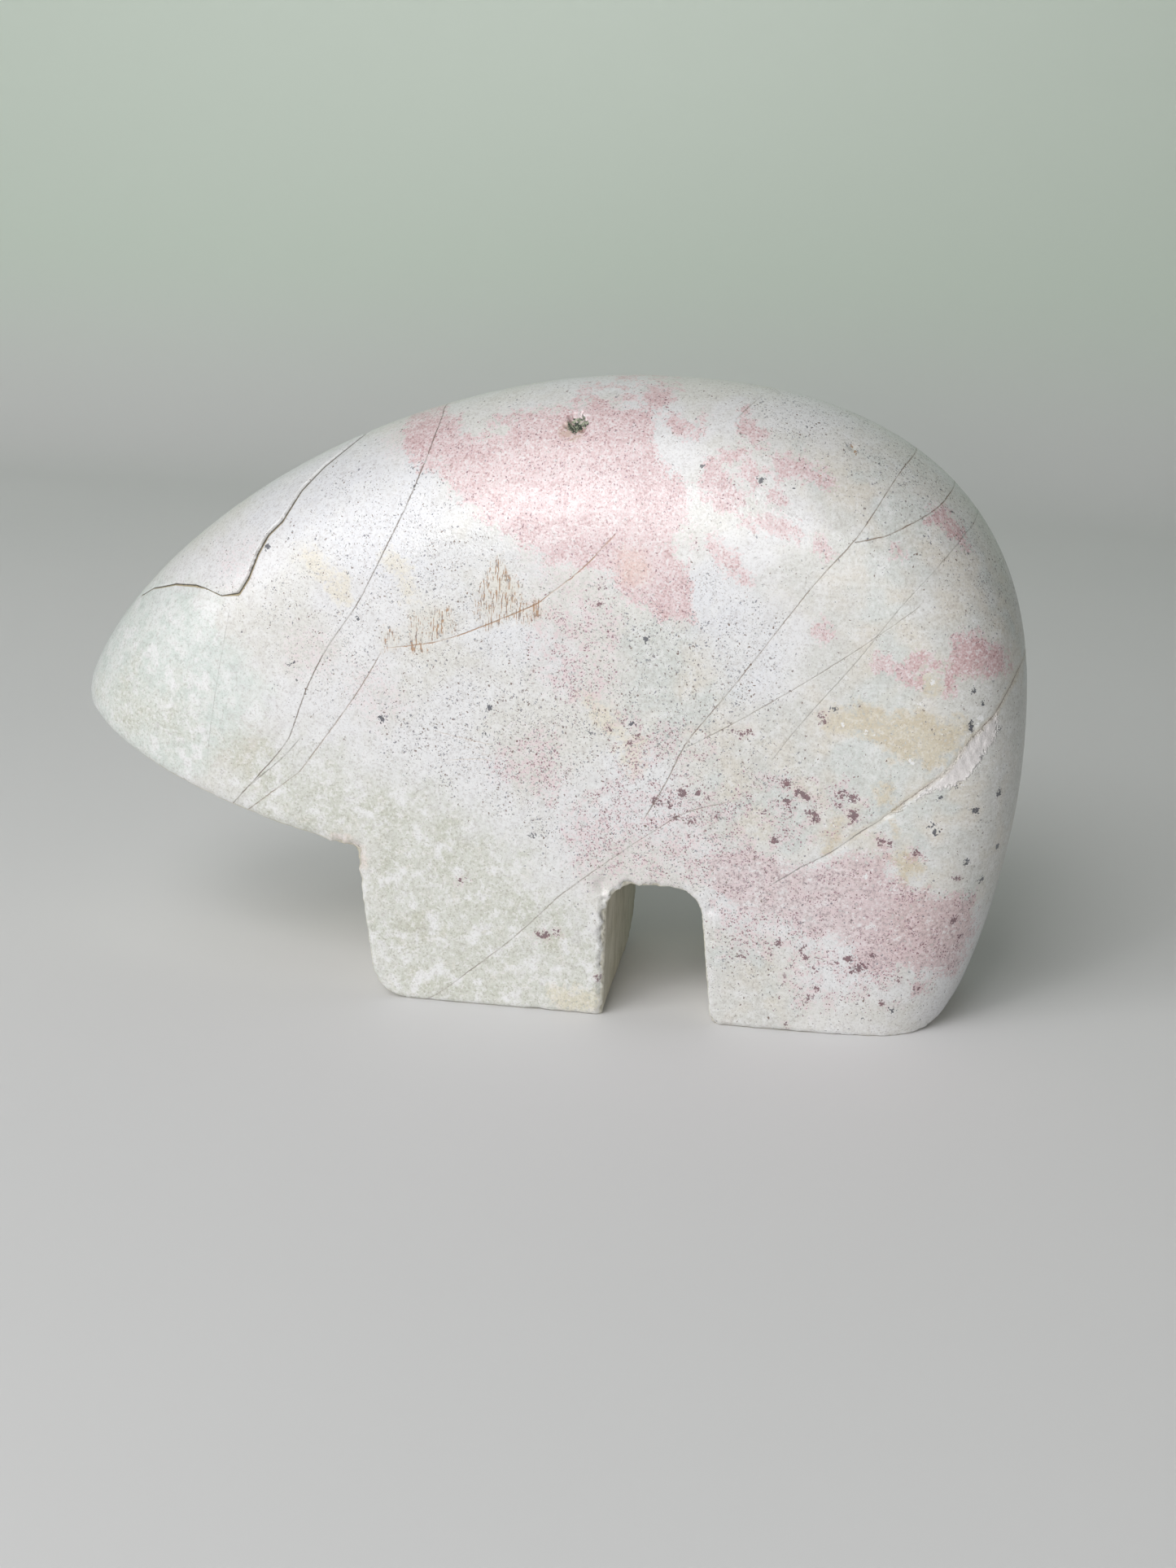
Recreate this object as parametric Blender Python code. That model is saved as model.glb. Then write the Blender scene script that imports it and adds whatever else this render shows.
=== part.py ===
"""A stylised standing bear carved from one slab of stone.

Metres, +Z up. The bear looks toward -X and its broad sides face -Y and +Y. The origin is on the ground,
under the middle of its length and thickness.
"""

import math

import bmesh
import bpy
from mathutils import Vector

# Overall sizes
LENGTH = 0.115
HEIGHT = 0.0743
THICKNESS = 0.030

# Side outline of the blank, measured from the tip of the nose and from the ground
CROWN_FROM_NOSE = 0.069
WAIST_HEIGHT = 0.0326
BELLY_DEPTH = 0.061

# How square each quarter of the outline is, along its length and along its height
HEAD_FULLNESS = (1.80, 1.47)
RUMP_FULLNESS = (2.48, 2.56)
HAUNCH_FULLNESS = (2.68, 1.81)
CHEST_FULLNESS = (2.00, 2.00)

# How flat the broad sides stay before they roll over to the edge, toward each end of the outline
RUMP_FLATNESS = 11.5
CROWN_FLATNESS = 5.0
NOSE_FLATNESS = 5.8
SOLE_FLATNESS = 12.0

# Saw cut under the head
CHIN_FROM_NOSE = 0.004
CHIN_HEIGHT = 0.0299
JAW_BOW = 0.0013
NOTCH_FROM_NOSE = 0.0374
NOTCH_HEIGHT = 0.0188
NOTCH_RADIUS = 0.0012

# Front foot
FOREFOOT_FROM_NOSE = 0.0399
TOE_RADIUS = 0.0048

# Slot between the legs
SLOT_FROM_NOSE = 0.0676
SLOT_WIDTH = 0.0129
SLOT_HEIGHT = 0.0169
SLOT_TAPER = 0.0019
SLOT_CORNER_RADIUS = 0.0035
SLOT_RIM_RADIUS = 0.0005

# Rear foot
HEEL_FROM_NOSE = 0.1064
HEEL_RADIUS = 0.0043
HEEL_RISE = math.radians(48.0)

# Worn lower edge along the far side of both feet
FAR_EDGE_WIDTH = 0.0100
FAR_EDGE_HEIGHT = 0.0050

# Mesh fineness
OUTLINE_POINTS = 132
SIDE_RINGS = 16
ARC_STEP = math.radians(10.0)
SMOOTH_ANGLE = math.radians(32.0)

JASPER_COLOR = (0.78, 0.78, 0.77, 1.0)
JASPER_ROUGHNESS = 0.35


def clear_scene():
    for obj in list(bpy.data.objects):
        bpy.data.objects.remove(obj, do_unlink=True)


def from_nose(x):
    """X of a place given by its distance behind the tip of the nose."""
    return x - LENGTH / 2


def jasper():
    material = bpy.data.materials.new("jasper")
    material.use_nodes = True
    shader = material.node_tree.nodes["Principled BSDF"]
    shader.inputs["Base Color"].default_value = JASPER_COLOR
    shader.inputs["Roughness"].default_value = JASPER_ROUGHNESS
    shader.inputs["Metallic"].default_value = 0.0
    return material


def quarter(length, height, fullness, steps=64):
    """A quarter of a rounded outline, from (length, 0) to (0, height)."""
    points = []
    for i in range(steps + 1):
        turn = math.pi / 2 * i / steps
        x = length * math.cos(turn) ** (2 / fullness[0])
        z = height * math.sin(turn) ** (2 / fullness[1])
        points.append((x, z))
    return points


def blank_outline():
    """Closed side outline round the centre of the blank, counter-clockwise seen from -Y, evenly spaced."""
    ahead = CROWN_FROM_NOSE
    behind = LENGTH - CROWN_FROM_NOSE
    above = HEIGHT - WAIST_HEIGHT
    below = BELLY_DEPTH
    rump = quarter(behind, above, RUMP_FULLNESS)
    head = [(-x, z) for x, z in reversed(quarter(ahead, above, HEAD_FULLNESS))]
    chest = [(-x, -z) for x, z in quarter(ahead, below, CHEST_FULLNESS)]
    haunch = [(x, -z) for x, z in reversed(quarter(behind, below, HAUNCH_FULLNESS))]
    loop = rump[:-1] + head[:-1] + chest[:-1] + haunch[:-1]
    return evenly_spaced(loop, OUTLINE_POINTS)


def evenly_spaced(loop, count):
    """Points at equal steps of length round a closed loop."""
    ends = loop[1:] + loop[:1]
    steps = [math.dist(a, b) for a, b in zip(loop, ends)]
    total = sum(steps)
    points = []
    edge = 0
    passed = 0.0
    for i in range(count):
        wanted = total * i / count
        while passed + steps[edge] < wanted:
            passed += steps[edge]
            edge += 1
        share = (wanted - passed) / steps[edge]
        a, b = loop[edge], ends[edge]
        points.append((a[0] + (b[0] - a[0]) * share, a[1] + (b[1] - a[1]) * share))
    return points


def side_flatness(x, z):
    """Flatness in the direction of an outline point, mixed from the two ends that it lies between."""
    along = (x / (LENGTH - CROWN_FROM_NOSE if x > 0 else CROWN_FROM_NOSE)) ** 2
    across = (z / (HEIGHT - WAIST_HEIGHT if z > 0 else BELLY_DEPTH)) ** 2
    lengthwise = RUMP_FLATNESS if x > 0 else NOSE_FLATNESS
    upright = CROWN_FLATNESS if z > 0 else SOLE_FLATNESS
    return (lengthwise * along + upright * across) / (along + across)


def add_ring(bm, outline, turn, side):
    """One ring of a broad side: turn goes from 0 at the edge of the blank to a quarter turn at its middle."""
    y = side * THICKNESS / 2 * math.sin(turn)
    ring = []
    for x, z in outline:
        scale = math.cos(turn) ** (2 / side_flatness(x, z))
        ring.append(bm.verts.new((from_nose(CROWN_FROM_NOSE) + x * scale, y, WAIST_HEIGHT + z * scale)))
    return ring


def join_rings(bm, outer, inner):
    count = len(outer)
    for i in range(count):
        j = (i + 1) % count
        bm.faces.new((outer[i], outer[j], inner[j], inner[i]))


def make_blank(material):
    """The slab before the saw cuts, rolled over to a round edge all the way round."""
    outline = blank_outline()
    bm = bmesh.new()
    edge = add_ring(bm, outline, 0.0, 1)
    for side in (-1, 1):
        outer = edge
        for i in range(1, SIDE_RINGS):
            inner = add_ring(bm, outline, math.pi / 2 * i / SIDE_RINGS, side)
            join_rings(bm, outer, inner)
            outer = inner
        middle = bm.verts.new((from_nose(CROWN_FROM_NOSE), side * THICKNESS / 2, WAIST_HEIGHT))
        for i in range(len(outer)):
            bm.faces.new((outer[i], outer[(i + 1) % len(outer)], middle))
    bmesh.ops.recalc_face_normals(bm, faces=bm.faces)
    return new_object("bear", bm, material)


def new_object(name, bm, material=None):
    mesh = bpy.data.meshes.new(name)
    bm.to_mesh(mesh)
    bm.free()
    if material:
        mesh.materials.append(material)
    obj = bpy.data.objects.new(name, mesh)
    bpy.context.scene.collection.objects.link(obj)
    return obj


def arc(center, radius, start, end):
    """Points along an arc, from one angle to another."""
    steps = max(2, round(abs(end - start) / ARC_STEP))
    points = []
    for i in range(steps + 1):
        turn = start + (end - start) * i / steps
        points.append((center[0] + radius * math.cos(turn), center[1] + radius * math.sin(turn)))
    return points


def rounded(corners):
    """An open path through (x, z, radius) corners, with each corner rounded by its radius."""
    path = [corners[0][:2]]
    for before, corner, after in zip(corners, corners[1:], corners[2:]):
        path += rounded_corner(before, corner, after)
    return path + [corners[-1][:2]]


def rounded_corner(before, corner, after):
    point = Vector(corner[:2])
    radius = corner[2]
    if radius == 0:
        return [tuple(point)]
    back = (Vector(before[:2]) - point).normalized()
    ahead = (Vector(after[:2]) - point).normalized()
    half = back.angle(ahead) / 2
    center = point + (back + ahead).normalized() * radius / math.sin(half)
    first = center - point - back * radius / math.tan(half)
    last = center - point - ahead * radius / math.tan(half)
    start = math.atan2(-first.y, -first.x)
    sweep = math.remainder(math.atan2(-last.y, -last.x) - start, math.tau)
    return arc(center, radius, start, start + sweep)


def jaw_line():
    """The underside of the head, a shallow bow that runs on past the tip of the nose."""
    chin = Vector((CHIN_FROM_NOSE, CHIN_HEIGHT))
    notch = Vector((NOTCH_FROM_NOSE, NOTCH_HEIGHT))
    along = notch - chin
    down = Vector((along.y, -along.x)).normalized()
    steps = 10
    points = []
    for i in range(steps):
        share = i / steps
        bow = 4 * share * (1 - share) * JAW_BOW
        points.append(tuple(chin + along * share + down * bow))
    outward = (Vector(points[0]) - Vector(points[1])).normalized()
    return [tuple(chin + outward * LENGTH / 4)] + points


def underside():
    """The lower outline from in front of the nose to behind the rump: jaw, notch, feet and slot."""
    slot_end = SLOT_FROM_NOSE + SLOT_WIDTH
    jaw = [(x, z, 0.0) for x, z in jaw_line()]
    corners = jaw + [
        (NOTCH_FROM_NOSE, NOTCH_HEIGHT, NOTCH_RADIUS),
        (FOREFOOT_FROM_NOSE, 0.0, TOE_RADIUS),
        (SLOT_FROM_NOSE, 0.0, SLOT_RIM_RADIUS),
        (SLOT_FROM_NOSE, SLOT_HEIGHT, SLOT_CORNER_RADIUS),
        (slot_end - SLOT_TAPER, SLOT_HEIGHT, SLOT_CORNER_RADIUS),
        (slot_end, 0.0, SLOT_RIM_RADIUS),
        (HEEL_FROM_NOSE, 0.0, HEEL_RADIUS),
        (HEEL_FROM_NOSE + LENGTH * math.cos(HEEL_RISE), LENGTH * math.sin(HEEL_RISE), 0.0),
    ]
    return [(from_nose(x), z) for x, z in rounded(corners)]


def make_cutter(name, profile, place, depth):
    """A prism for a cut: the profile's (a, b) points are placed by a function and pushed along depth."""
    bm = bmesh.new()
    face = bm.faces.new([bm.verts.new(place(a, b)) for a, b in profile])
    pushed = bmesh.ops.extrude_face_region(bm, geom=[face])
    moved = [part for part in pushed["geom"] if isinstance(part, bmesh.types.BMVert)]
    bmesh.ops.translate(bm, verts=moved, vec=depth)
    bmesh.ops.recalc_face_normals(bm, faces=bm.faces)
    cutter = new_object(name, bm)
    cutter.hide_render = True
    cutter.display_type = "WIRE"
    return cutter


def make_underside_cutter():
    path = underside()
    low = WAIST_HEIGHT - 2 * BELLY_DEPTH
    profile = path + [(path[-1][0], low), (path[0][0], low)]
    return make_cutter("underside cutter", profile, lambda x, z: (x, -THICKNESS, z), (0, 2 * THICKNESS, 0))


def make_far_edge_cutter():
    """The corner block outside a quarter ellipse along the far lower edge."""
    inner = THICKNESS / 2 - FAR_EDGE_WIDTH
    curve = arc((0, 0), 1.0, -math.pi / 2, 0.0)
    profile = [(inner + FAR_EDGE_WIDTH * a, FAR_EDGE_HEIGHT * (1 + b)) for a, b in curve]
    profile += [(THICKNESS, FAR_EDGE_HEIGHT), (THICKNESS, -THICKNESS), (inner, -THICKNESS)]
    return make_cutter("far edge cutter", profile, lambda y, z: (-LENGTH, y, z), (2 * LENGTH, 0, 0))


def cut(obj, cutter):
    boolean = obj.modifiers.new(cutter.name, "BOOLEAN")
    boolean.operation = "DIFFERENCE"
    boolean.solver = "EXACT"
    boolean.object = cutter


def bake(obj):
    """Turns the cuts into plain mesh and shades the rounded sides smooth."""
    graph = bpy.context.evaluated_depsgraph_get()
    mesh = bpy.data.meshes.new_from_object(obj.evaluated_get(graph))
    obj.modifiers.clear()
    obj.data = mesh
    mesh.name = obj.name
    mesh.shade_smooth()
    mesh.set_sharp_from_angle(angle=SMOOTH_ANGLE)


def main():
    clear_scene()
    bear = make_blank(jasper())
    cut(bear, make_underside_cutter())
    cut(bear, make_far_edge_cutter())
    bake(bear)


main()
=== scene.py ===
import math
import random

import bmesh
import bpy
import numpy as np
from mathutils import Matrix, Vector, noise
from mathutils.bvhtree import BVHTree
from mathutils.kdtree import KDTree


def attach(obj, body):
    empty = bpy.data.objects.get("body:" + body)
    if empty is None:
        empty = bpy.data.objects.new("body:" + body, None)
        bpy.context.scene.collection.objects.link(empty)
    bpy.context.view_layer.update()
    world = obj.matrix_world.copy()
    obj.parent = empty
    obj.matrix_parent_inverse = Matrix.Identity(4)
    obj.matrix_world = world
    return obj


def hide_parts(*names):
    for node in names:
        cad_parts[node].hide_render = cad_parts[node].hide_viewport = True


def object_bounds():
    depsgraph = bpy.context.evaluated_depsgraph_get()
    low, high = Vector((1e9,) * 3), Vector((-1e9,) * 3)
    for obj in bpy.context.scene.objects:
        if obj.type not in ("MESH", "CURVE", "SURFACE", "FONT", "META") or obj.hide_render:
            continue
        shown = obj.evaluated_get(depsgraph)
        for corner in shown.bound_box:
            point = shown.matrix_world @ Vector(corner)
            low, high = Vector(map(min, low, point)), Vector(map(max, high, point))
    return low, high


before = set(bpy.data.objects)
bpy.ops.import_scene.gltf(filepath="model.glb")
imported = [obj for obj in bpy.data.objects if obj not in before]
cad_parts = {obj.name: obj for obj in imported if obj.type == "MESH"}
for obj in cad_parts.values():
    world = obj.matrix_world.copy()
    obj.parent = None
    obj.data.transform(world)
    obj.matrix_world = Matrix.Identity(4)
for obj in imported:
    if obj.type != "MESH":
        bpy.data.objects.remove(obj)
cad_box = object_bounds()

# Sizes of the mesh in metres
MM = 0.001
FACE_SIZE = 0.0006
SAME_POINT = 1e-6
RIM_ANGLE = math.radians(32)
RIM_STEP, RIM_REACH = 0.0003, 0.004
CRISP_RIM, EVENED_FROM = 0.0006, 0.0022
JAW_FROM, JAW_TO = -0.021, -0.026
EVEN_PASSES, JAW_PASSES = 55, 12

# How near to a mark the faces are made smaller: the cracks in millimetres, the rest in metres
CRACK_NEAR, SEAM_NEAR, FLANK_NEAR = (1.1, 0.7), 1.5, 0.4
PIT_NEAR, RIM_NEAR, SPOT_NEAR = (0.0021, 0.0017), 0.0011, 0.0009

# Depths of the relief in millimetres
WAVINESS, RIPPLE, SAW_RIDGES = 0.05, 0.012, 0.03
BREAK_DEPTH, SOLE_BEVEL = 0.34, 0.35
SEAM_DEPTH, FLANK_DEPTH, SPLINTER_DEPTH = 0.09, 0.06, 0.15

# Where the sawn edges are broken most, in millimetres across and up
SLOT_EDGE, NOTCH = (10.2, 12.0), (-20.1, 18.8)

# The seeded spots of the hidden face
SEED, HIDDEN_SPOTS, HIDDEN_FACE = 11, 34, 14.5

# Colours, as the eye names them on a screen from 0 to 255
CHALK = (229, 229, 231)
SHELL = (222, 221, 217)
BLUE_WHITE = (226, 228, 235)
STONE_GREY = (210, 210, 205)
STONE_WARM = (215, 210, 200)
STONE_COLD = (206, 212, 210)
MINT = (209, 219, 214)
MINT_PALE = (222, 227, 224)
OLIVE = (211, 213, 204)
MOSS = (184, 187, 168)
TAN = (199, 184, 156)
CREAM = (212, 203, 183)
CREAM_PALE = (226, 216, 190)
BLOSSOM = (227, 203, 206)
SALMON = (216, 184, 187)
ROSE = (196, 146, 150)
MAUVE = (214, 195, 197)
PLUM = (162, 124, 136)
BLUSH = (221, 198, 202)
CURD = (237, 237, 238)
PEACH = (229, 196, 182)
TORN = (230, 225, 225)
SLATE = (90, 92, 107)
UMBER = (120, 102, 94)
INK = (62, 64, 70)
MAROON = (112, 64, 74)
RUST = (164, 120, 76)
HAIRLINE = (108, 104, 97)
CRACK_DARK = (70, 66, 56)
CRACK_TAN = (176, 163, 134)
DRUZE_DARK = (56, 66, 54)
DRUZE_LIGHT = (166, 172, 150)
SAWN = (220, 215, 198)
SAWN_DARK = (192, 187, 167)
FLOOR_GREY = (226, 225, 226)
FLOOR_SHADE = (221, 221, 222)
BACKDROP = (218, 230, 218)


def points_of(row):
    """A row of whole tenths of a millimetre, across and up in turn, as points in millimetres."""
    return [(x / 10, z / 10) for x, z in zip(row[::2], row[1::2])]


def spots_of(row):
    """A row of whole numbers as spots: places in tenths of a millimetre, radii in hundredths."""
    return [(x / 10, y / 10, z / 10, radius / 100) for x, y, z, radius in zip(*[iter(row)] * 4)]


# Coloured zones on the shown face, as outlines in tenths of a millimetre
ZONES = {
    "pink": (
        (-167, 689, -130, 698, -98, 691, -87, 680, -68, 675, -54, 681, -35, 684, -30, 701, -11, 706,
        13, 710, 30, 717, 62, 722, 87, 718, 107, 715, 124, 720, 130, 702, 127, 681, 139, 669, 151, 657,
        163, 645, 178, 633, 180, 611, 174, 593, 163, 582, 172, 557, 182, 544, 185, 517, 188, 489, 174, 484,
        153, 490, 141, 505, 118, 507, 99, 510, 94, 539, 80, 543, 59, 539, 42, 545, 17, 548, 0, 561,
        -18, 571, -34, 581, -58, 593, -76, 605, -93, 621, -105, 633, -112, 643, -133, 641, -151, 650,
        -162, 665, -167, 679),
        (-61, 688, -56, 699, -42, 701, -39, 695, -49, 687),
        (38, 727, 45, 734, 57, 738, 60, 732, 50, 727),
        (73, 737, 92, 742, 116, 742, 98, 738),
        (124, 739, 146, 741, 150, 730, 144, 718, 132, 716, 120, 722, 95, 724, 86, 729, 108, 729),
        (137, 709, 152, 711, 164, 701, 174, 696, 183, 703, 186, 711, 187, 696, 180, 688, 168, 689,
        154, 694, 141, 699),
        (227, 717, 236, 715, 242, 705, 255, 697, 261, 687, 246, 683, 235, 690, 229, 702),
        (191, 665, 204, 668, 220, 657, 231, 644, 240, 636, 240, 623, 231, 613, 218, 613, 204, 622,
        192, 629, 188, 642, 193, 652),
        (209, 677, 226, 679, 244, 674, 252, 667, 250, 658, 247, 643, 238, 647, 228, 659, 213, 669),
        (283, 678, 294, 676, 305, 671, 316, 664, 327, 656, 338, 653, 336, 646, 318, 646, 305, 650,
        291, 650, 279, 652, 269, 660, 261, 662, 271, 674),
        (266, 638, 281, 636, 287, 624, 277, 620, 263, 626),
        (238, 613, 261, 612, 277, 608, 289, 610, 302, 604, 310, 592, 305, 584, 292, 589, 278, 595,
        264, 598, 250, 599, 238, 602),
        (321, 592, 332, 586, 335, 575, 327, 571, 319, 579),
        (200, 586, 215, 585, 227, 577, 235, 561, 245, 551, 252, 542, 248, 534, 238, 537, 230, 546,
        220, 553, 207, 564, 198, 575),
        (182, 594, 194, 582, 191, 567, 182, 574),
        (324, 495, 335, 500, 346, 491, 351, 480, 339, 477, 328, 484),
        (406, 588, 418, 586, 417, 577, 407, 578),
        (441, 623, 458, 623, 470, 614, 479, 600, 491, 578, 479, 584, 465, 600, 451, 608, 439, 611),
        (478, 489, 492, 492, 518, 484, 536, 467, 542, 439, 517, 442, 499, 446, 490, 440, 485, 426,
        478, 424, 474, 438, 475, 459, 480, 473),
        (392, 462, 408, 465, 418, 457, 430, 464, 443, 472, 453, 469, 450, 461, 472, 462, 474, 446,
        454, 452, 441, 444, 447, 433, 437, 429, 418, 437, 400, 444, 390, 453),
    ),
    "low": (
        (219, 218, 237, 219, 270, 229, 289, 219, 318, 205, 346, 211, 368, 225, 387, 231, 419, 231,
        432, 220, 428, 204, 454, 193, 473, 184, 497, 185, 530, 177, 532, 129, 524, 99, 513, 68, 481, 84,
        447, 93, 429, 80, 406, 81, 393, 98, 394, 119, 361, 126, 332, 129, 303, 142, 284, 145, 250, 152,
        223, 170),
        (410, 250, 420, 254, 430, 242, 424, 234, 414, 239),
        (448, 239, 458, 243, 464, 232, 453, 229),
        (463, 69, 482, 74, 479, 56, 466, 55),
    ),
    "blush": (
        (55, 252, 84, 255, 132, 248, 198, 263, 219, 245, 227, 206, 201, 180, 115, 171, 79, 168, 62, 193,
        54, 222),
        (-42, 305, -4, 342, 43, 350, 37, 306, 47, 277, 28, 268, -3, 282, -32, 290),
        (7, 501, 48, 522, 100, 497, 104, 422, 92, 381, 52, 390, 13, 416),
        (-280, 445, -242, 453, -220, 425, -245, 398, -276, 410),
        (-205, 408, -165, 405, -143, 370, -170, 343, -203, 366),
        (-377, 521, -337, 533, -340, 503, -363, 493),
        (-187, 669, -168, 686, -154, 650, -170, 655),
        (231, 156, 279, 145, 309, 122, 347, 115, 351, 43, 337, 44, 324, 108, 251, 132),
        (-10, 573, 47, 541, 84, 538, 86, 511, 39, 508, 1, 538),
    ),
    "cream": (
        (342, 393, 357, 403, 384, 406, 412, 400, 448, 398, 480, 394, 506, 389, 499, 374, 486, 354,
        471, 336, 461, 340, 439, 345, 420, 348, 405, 365, 377, 373, 344, 374),
        (-273, 540, -256, 545, -244, 533, -227, 522, -208, 509, -210, 485, -226, 485, -238, 498, -250, 511,
        -269, 526),
        (-175, 539, -157, 548, -141, 537, -135, 515, -130, 496, -144, 495, -157, 518, -169, 526),
        (65, 397, 94, 388, 114, 370, 119, 354, 138, 352, 141, 328, 138, 308, 124, 305, 114, 321, 107, 350,
        89, 357, 72, 379),
        (404, 308, 422, 316, 428, 296, 411, 289),
        (356, 254, 370, 277, 374, 243, 353, 227),
        (428, 273, 439, 244, 456, 234, 464, 204, 445, 196, 432, 222),
        (37, 29, 67, 36, 101, 24, 99, 8, 52, 2, 34, 12),
        (441, 441, 458, 447, 471, 431, 455, 424),
    ),
    "mint": (
        (-505, 466, -407, 482, -380, 465, -363, 425, -337, 419, -318, 372, -317, 335, -337, 321, -375, 287,
        -396, 269, -445, 248, -502, 269, -580, 293, -648, 326, -649, 356, -611, 405),
        (-190, 105, -170, 103, -166, 80, -183, 77),
        (-186, 42, -168, 32, -152, 3, -168, -1, -183, 21),
    ),
    "olive": (
        (-353, 289, -292, 320, -237, 300, -198, 293, -158, 276, -70, 252, -10, 209, 35, 162, 90, 105,
        121, 60, 121, -25, -37, -37, -198, -38, -198, 130, -200, 192, -258, 168, -370, 207),
        (-546, 337, -484, 366, -437, 359, -405, 334, -405, 314, -444, 293, -503, 303),
    ),
    "warm": (
        (-170, 109, -133, 109, -108, 75, -118, 32, -158, 33, -168, 70),
        (-93, 89, -69, 89, -63, 71, -88, 64),
        (-525, 343, -490, 358, -482, 322, -503, 302, -518, 315),
        (-377, 312, -327, 317, -307, 294, -318, 273, -369, 267, -377, 287),
        (20, 97, 50, 97, 50, 73, 26, 71),
    ),
    "cool": (
        (-343, 628, -224, 672, -122, 645, -78, 605, -86, 578, -29, 572, 29, 521, -46, 535, -121, 493,
        -200, 524, -285, 561, -355, 560),
        (185, 549, 231, 538, 270, 499, 290, 463, 283, 415, 238, 412, 198, 466, 183, 512),
        (-84, 514, -46, 535, 2, 482, -6, 443, -73, 449),
    ),
    "sage": (
        (274, 691, 365, 676, 449, 633, 539, 550, 608, 422, 621, 255, 558, 145, 463, 204, 377, 238,
        303, 222, 228, 226, 205, 303, 193, 380, 293, 406, 325, 484, 259, 535, 317, 610),
        (219, 124, 309, 112, 339, -10, 228, -19),
        (105, 479, 189, 475, 238, 403, 185, 341, 118, 375),
    ),
    "wine": (
        (213, 299, 279, 319, 335, 318, 391, 312, 396, 264, 349, 246, 275, 220, 219, 215),
        (45, 267, 92, 305, 168, 306, 211, 294, 229, 206, 201, 180, 115, 177, 72, 183, 46, 222),
        (95, 373, 146, 377, 203, 362, 223, 334, 177, 301, 111, 306),
        (226, 155, 279, 150, 346, 135, 405, 94, 444, 80, 456, 42, 352, 33, 314, 35, 310, 91, 243, 96),
        (7, 496, 48, 518, 100, 497, 104, 422, 92, 381, 52, 390, 13, 416),
        (-42, 305, -4, 342, 43, 350, 44, 306, 55, 267, 28, 260, -3, 282, -32, 290),
    ),
    "dashes": (
        (-169, 456, -153, 456, -151, 434, -167, 432),
        (-132, 473, -123, 474, -120, 436, -132, 435),
        (-114, 482, -91, 490, -86, 462, -111, 451),
        (-59, 508, -46, 530, -35, 545, -25, 530, -14, 518, -7, 495, 11, 499, 19, 488, 2, 478, -15, 485,
        -45, 471, -56, 478),
    ),
    "pepper": (
        (-320, 500, -240, 620, -120, 620, -20, 530, 80, 510, 180, 520, 270, 500, 280, 400, 330, 300,
        260, 220, 200, 180, 90, 180, 0, 240, -120, 290, -220, 360, -290, 430),
        (220, 200, 400, 120, 480, 80, 420, 30, 300, 40, 220, 60),
        (240, 710, 330, 685, 410, 630, 470, 560, 510, 490, 560, 500, 530, 600, 450, 680, 340, 750,
        240, 765),
    ),
    "flank": (
        (536, 403, 531, 396, 523, 387, 513, 378, 505, 368, 497, 356, 491, 344, 481, 332, 470, 322,
        461, 315, 451, 306, 452, 299, 469, 310, 484, 313, 495, 318, 505, 322, 514, 334, 520, 341, 522, 351,
        529, 359, 534, 367, 537, 376, 537, 389),
        (424, 281, 425, 286, 431, 291, 438, 295, 441, 292, 436, 285, 429, 281),
    ),
    "peach": (
        (99, 558, 111, 566, 129, 564, 139, 551, 137, 535, 125, 525, 108, 530, 98, 544),
        (-226, 202, -210, 198, -197, 186, -190, 166, -197, 163, -208, 186, -226, 192),
    ),
}
ZONES = {name: [points_of(ring) for ring in rings] for name, rings in ZONES.items()}

# The open crack over the brow, and its width in millimetres at distances along it
OPEN_CRACK = points_of((
    -204, 678, -226, 658, -261, 628, -284, 602, -302, 568, -318, 552, -329, 530, -338, 502, -348, 484,
    -370, 478, -391, 483, -408, 485, -438, 481, -474, 468, -500, 451))
CRACK_WIDTH_AT = (
    3.3, 7.4, 11.0, 15.0, 17.0, 19.5, 22.5, 24.6, 25.6, 27.0, 29.1, 30.0, 30.7, 33.7, 36.5, 37.9)
CRACK_WIDTH = (
    0.18, 0.28, 0.34, 0.38, 0.42, 0.44, 0.42, 0.34, 0.22, 0.06, 0.05, 0.18, 0.26, 0.22, 0.15, 0.08)

# The rough seam of the haunch
ROUGH_SEAM = points_of((
    590, 476, 556, 439, 543, 416, 532, 397, 513, 378, 497, 356, 486, 338, 470, 322, 447, 303, 425, 283,
    405, 266, 381, 247, 359, 228, 327, 208, 287, 179))

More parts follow.
